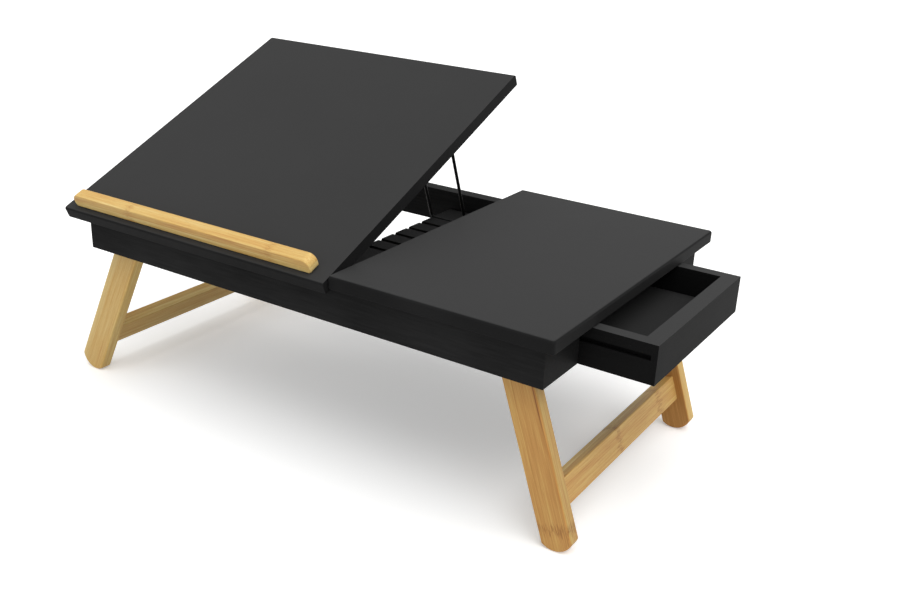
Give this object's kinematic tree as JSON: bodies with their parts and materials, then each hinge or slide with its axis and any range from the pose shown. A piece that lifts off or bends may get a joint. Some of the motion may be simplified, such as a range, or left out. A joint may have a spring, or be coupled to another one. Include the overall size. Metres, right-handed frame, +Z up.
{
  "type": "laptop stand with drawer",
  "caption": "Bed-tray laptop stand: painted box frame on two folding splayed bamboo leg pairs, hinged tilting top with stop ledge and wire strut, fixed side top over a drawer.",
  "frame": {"origin": "on the floor, under the middle of the whole stand's outline as it stands with the drawer drawn out", "axes": "+X towards the drawer end, -Y towards the user (hinge and ledge side), +Z up"},
  "size_m": [0.644, 0.3442, 0.3334],
  "materials": {
    "black_board": "matte black paint on fibreboard",
    "bamboo": "satin clear lacquer",
    "beech_dowel": "raw",
    "hardwood_strip": "matte black paint",
    "brass_insert": "machined",
    "black_wire": "black coated wire",
    "zinc_steel": "zinc plated"
  },
  "bodies": {
    "base": {"front_rail": "black_board", "rear_rail": "black_board", "left_rail": "black_board", "cross_rail": "black_board", "right_end_near": "black_board", "right_end_far": "black_board", "notched_rack": "black_board", "fixed_top_panel": "black_board", "runner_near": "black_board", "runner_far": "black_board", "runner_strip_near": "hardwood_strip", "runner_strip_far": "hardwood_strip", "runner_strip_screws": "zinc_steel", "runner_dowels": "beech_dowel", "frame_dowels": "beech_dowel", "rack_dowels": "beech_dowel", "top_panel_screws": "zinc_steel", "leg_inserts": "brass_insert", "leg_spacers": "zinc_steel", "leg_pivot_bolts": "zinc_steel", "hinge_left_frame_leaf": "zinc_steel", "hinge_right_frame_leaf": "zinc_steel", "hinge_pins": "zinc_steel", "hinge_frame_screws": "zinc_steel"},
    "tilt_top": {"tilt_top_panel": "black_board", "stop_ledge": "bamboo", "ledge_screws": "zinc_steel", "hinge_left_top_leaf": "zinc_steel", "hinge_right_top_leaf": "zinc_steel", "hinge_top_screws": "zinc_steel", "strut_brackets": "zinc_steel", "strut_bracket_screws": "zinc_steel"},
    "strut": {"strut_wire": "black_wire"},
    "drawer": {"drawer_front": "black_board", "drawer_side_near": "black_board", "drawer_side_far": "black_board", "drawer_back": "black_board", "drawer_bottom": "black_board", "drawer_dowels": "beech_dowel"},
    "left_legs": {"left_front_leg": "bamboo", "left_rear_leg": "bamboo", "left_stretcher": "bamboo", "left_stretcher_dowels": "beech_dowel"},
    "right_legs": {"right_front_leg": "bamboo", "right_rear_leg": "bamboo", "right_stretcher": "bamboo", "right_stretcher_dowels": "beech_dowel"}
  },
  "joints": [
    {"name": "top_tilt", "type": "hinge", "parent": "base", "child": "tilt_top", "pos_m": [-0.0057, -0.1569, 0.1925], "axis": [1, 0, 0], "range_deg": [0, 65]},
    {"name": "strut_swing", "type": "hinge", "parent": "tilt_top", "child": "strut", "pos_m": [-0.0076, 0.06652, 0.28428], "axis": [1, 0, 0], "range_deg": [-84.5, 0]},
    {"name": "drawer_slide", "type": "slide", "parent": "base", "child": "drawer", "axis": [1, 0, 0], "range_m": [-0.0677, 0.04]},
    {"name": "left_legs_fold", "type": "hinge", "parent": "base", "child": "left_legs", "pos_m": [-0.22793, 0.0021, 0.1745], "axis": [0, -1, 0], "range_deg": [0, 63.7]},
    {"name": "right_legs_fold", "type": "hinge", "parent": "base", "child": "right_legs", "pos_m": [0.21194, 0.0021, 0.1745], "axis": [0, 1, 0], "range_deg": [0, 57.1]}
  ],
  "couplings": [
    {"joint": "strut_swing", "follows": "top_tilt", "ratio": -1.3}
  ]
}
